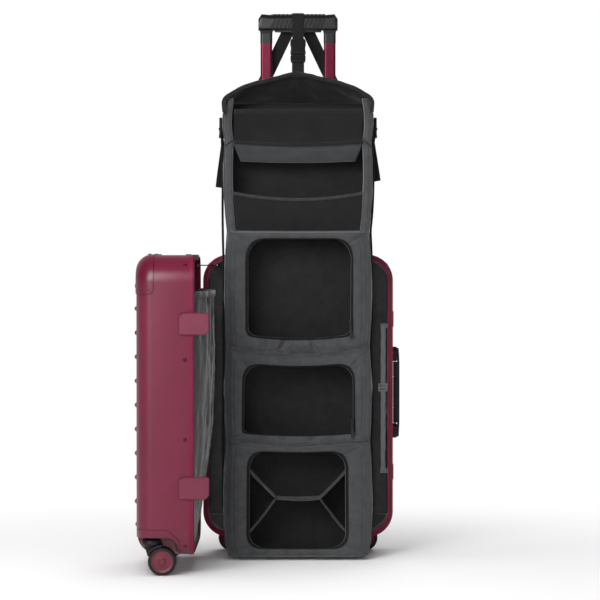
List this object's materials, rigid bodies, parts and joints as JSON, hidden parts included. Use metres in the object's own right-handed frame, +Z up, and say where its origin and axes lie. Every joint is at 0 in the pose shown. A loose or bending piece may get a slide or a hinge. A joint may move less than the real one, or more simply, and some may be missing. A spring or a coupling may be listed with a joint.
{
  "type": "carry-on suitcase",
  "caption": "Hard-shell spinner carry-on standing open, with a rim frame, flip latches, telescopic handle and a fabric shelf organiser hung from the grip",
  "frame": {"origin": "on the floor under the middle of the opened case", "axes": "+Z up, -Y the way the open rear half faces, +X to the right of one who faces it"},
  "size_m": [0.4766, 0.4952, 1.0181],
  "materials": {
    "burgundy_polycarbonate": "satin polycarbonate",
    "burgundy_aluminium": "burgundy anodised",
    "burgundy_hub": "moulded",
    "black_plastic": "moulded",
    "black_tyre": "soft polyurethane",
    "black_rubber": "moulded",
    "steel": "plated",
    "grey_fabric": "woven polyester",
    "black_net": "knitted",
    "webbing": "woven webbing"
  },
  "bodies": {
    "rear_case": {"carry_handle_mounts": "black_plastic", "handle_tray": "black_plastic", "hang_harness": "webbing", "hinge_pins": "steel", "latch_keepers": "steel", "lid_stay": "steel", "organiser_back": "grey_fabric", "organiser_dividers": "grey_fabric", "organiser_fronts": "grey_fabric", "organiser_hood": "grey_fabric", "organiser_net": "black_net", "organiser_shelves": "grey_fabric", "organiser_side_straps": "webbing", "organiser_sides": "grey_fabric", "organiser_stretch_panel": "black_net", "outer_tubes": "burgundy_aluminium", "packing_slider": "black_plastic", "packing_strap": "webbing", "rear_back_panel": "grey_fabric", "rear_corner_guards": "burgundy_polycarbonate", "rear_frame": "burgundy_aluminium", "rear_hinge_leaves": "steel", "rear_lining": "grey_fabric", "rear_rivets": "steel", "rear_shell": "burgundy_polycarbonate", "rear_wheel_housings": "burgundy_polycarbonate", "rim_seal": "black_rubber", "side_feet": "black_rubber", "strap_buckles": "black_plastic", "tube_foot": "black_plastic", "zip_pulls": "steel"},
    "lid": {"lid_shell": "burgundy_polycarbonate", "lid_frame": "burgundy_aluminium", "lid_lining": "grey_fabric", "lid_divider": "grey_fabric", "lid_corner_guards": "burgundy_polycarbonate", "lid_wheel_housings": "burgundy_polycarbonate", "lid_rivets": "steel", "lid_hinge_leaves": "steel", "latch_bases": "steel"},
    "upper_latch": {"upper_latch": "burgundy_aluminium"},
    "lower_latch": {"lower_latch": "burgundy_aluminium"},
    "handle_upper": {"inner_tubes": "burgundy_aluminium", "handle_grip": "black_plastic"},
    "handle_middle": {"middle_tubes": "burgundy_aluminium"},
    "release": {"release_bar": "black_plastic"},
    "side_handle": {"side_handle": "black_plastic"},
    "top_handle": {"top_handle": "black_plastic"},
    "rear_left_caster": {"rear_left_fork": "black_plastic"},
    "rear_left_wheels": {"rear_left_hubs": "burgundy_hub", "rear_left_tyres": "black_tyre"},
    "rear_right_caster": {"rear_right_fork": "black_plastic"},
    "rear_right_wheels": {"rear_right_hubs": "burgundy_hub", "rear_right_tyres": "black_tyre"},
    "lid_latch_caster": {"lid_latch_fork": "black_plastic"},
    "lid_latch_wheels": {"lid_latch_hubs": "burgundy_hub", "lid_latch_tyres": "black_tyre"},
    "lid_hinge_caster": {"lid_hinge_fork": "black_plastic"},
    "lid_hinge_wheels": {"lid_hinge_hubs": "burgundy_hub", "lid_hinge_tyres": "black_tyre"}
  },
  "joints": [
    {"name": "lid_hinge", "type": "hinge", "parent": "rear_case", "child": "lid", "pos_m": [-0.1353, 0.119, 0.2975], "axis": [0, 0, 1], "range_deg": [0, 90], "deforming": ["organiser_back", "organiser_sides", "organiser_shelves", "organiser_fronts", "organiser_hood", "organiser_net", "organiser_stretch_panel", "organiser_dividers", "organiser_side_straps", "strap_buckles", "zip_pulls", "lid_stay", "lid_divider"]},
    {"name": "lower_latch_flip", "type": "hinge", "parent": "lid", "child": "lower_latch", "pos_m": [-0.1576, -0.2434, 0.1545], "axis": [0, 0, -1], "range_deg": [0, 85]},
    {"name": "upper_latch_flip", "type": "hinge", "parent": "lid", "child": "upper_latch", "pos_m": [-0.1576, -0.2434, 0.4405], "axis": [0, 0, -1], "range_deg": [0, 85]},
    {"name": "handle_slide", "type": "slide", "parent": "rear_case", "child": "handle_upper", "axis": [0, 0, 1], "range_m": [-0.453, 0], "deforming": ["hang_harness"]},
    {"name": "handle_middle_slide", "type": "slide", "parent": "rear_case", "child": "handle_middle", "axis": [0, 0, 1], "range_m": [-0.2265, 0]},
    {"name": "release_press", "type": "slide", "parent": "handle_upper", "child": "release", "axis": [0, 0, 1], "range_m": [0, 0.004], "stiffness_N_per_m": 400, "springref_m": -0.002},
    {"name": "side_handle_pull", "type": "slide", "parent": "rear_case", "child": "side_handle", "axis": [1, 0, 0], "range_m": [0, 0.006], "stiffness_N_per_m": 300, "springref_m": -0.002},
    {"name": "top_handle_pull", "type": "slide", "parent": "rear_case", "child": "top_handle", "axis": [0, 0, 1], "range_m": [0, 0.006], "stiffness_N_per_m": 300, "springref_m": -0.002},
    {"name": "rear_left_swivel", "type": "hinge", "parent": "rear_case", "child": "rear_left_caster", "pos_m": [-0.0973, 0.218, 0.067], "axis": [0, 0, 1], "continuous": true},
    {"name": "rear_left_roll", "type": "hinge", "parent": "rear_left_caster", "child": "rear_left_wheels", "pos_m": [-0.0783, 0.218, 0.0245], "axis": [0, 1, 0], "continuous": true},
    {"name": "rear_right_swivel", "type": "hinge", "parent": "rear_case", "child": "rear_right_caster", "pos_m": [0.1927, 0.218, 0.067], "axis": [0, 0, 1], "continuous": true},
    {"name": "rear_right_roll", "type": "hinge", "parent": "rear_right_caster", "child": "rear_right_wheels", "pos_m": [0.1737, 0.218, 0.0245], "axis": [0, 1, 0], "continuous": true},
    {"name": "lid_latch_swivel", "type": "hinge", "parent": "lid", "child": "lid_latch_caster", "pos_m": [-0.2087, -0.209, 0.067], "axis": [0, 0, 1], "continuous": true},
    {"name": "lid_latch_roll", "type": "hinge", "parent": "lid_latch_caster", "child": "lid_latch_wheels", "pos_m": [-0.1897, -0.209, 0.0245], "axis": [0, 1, 0], "continuous": true},
    {"name": "lid_hinge_swivel", "type": "hinge", "parent": "lid", "child": "lid_hinge_caster", "pos_m": [-0.2087, 0.081, 0.067], "axis": [0, 0, 1], "continuous": true},
    {"name": "lid_hinge_roll", "type": "hinge", "parent": "lid_hinge_caster", "child": "lid_hinge_wheels", "pos_m": [-0.1897, 0.081, 0.0245], "axis": [0, 1, 0], "continuous": true}
  ],
  "couplings": [
    {"joint": "handle_middle_slide", "follows": "handle_slide", "ratio": 0.5}
  ]
}
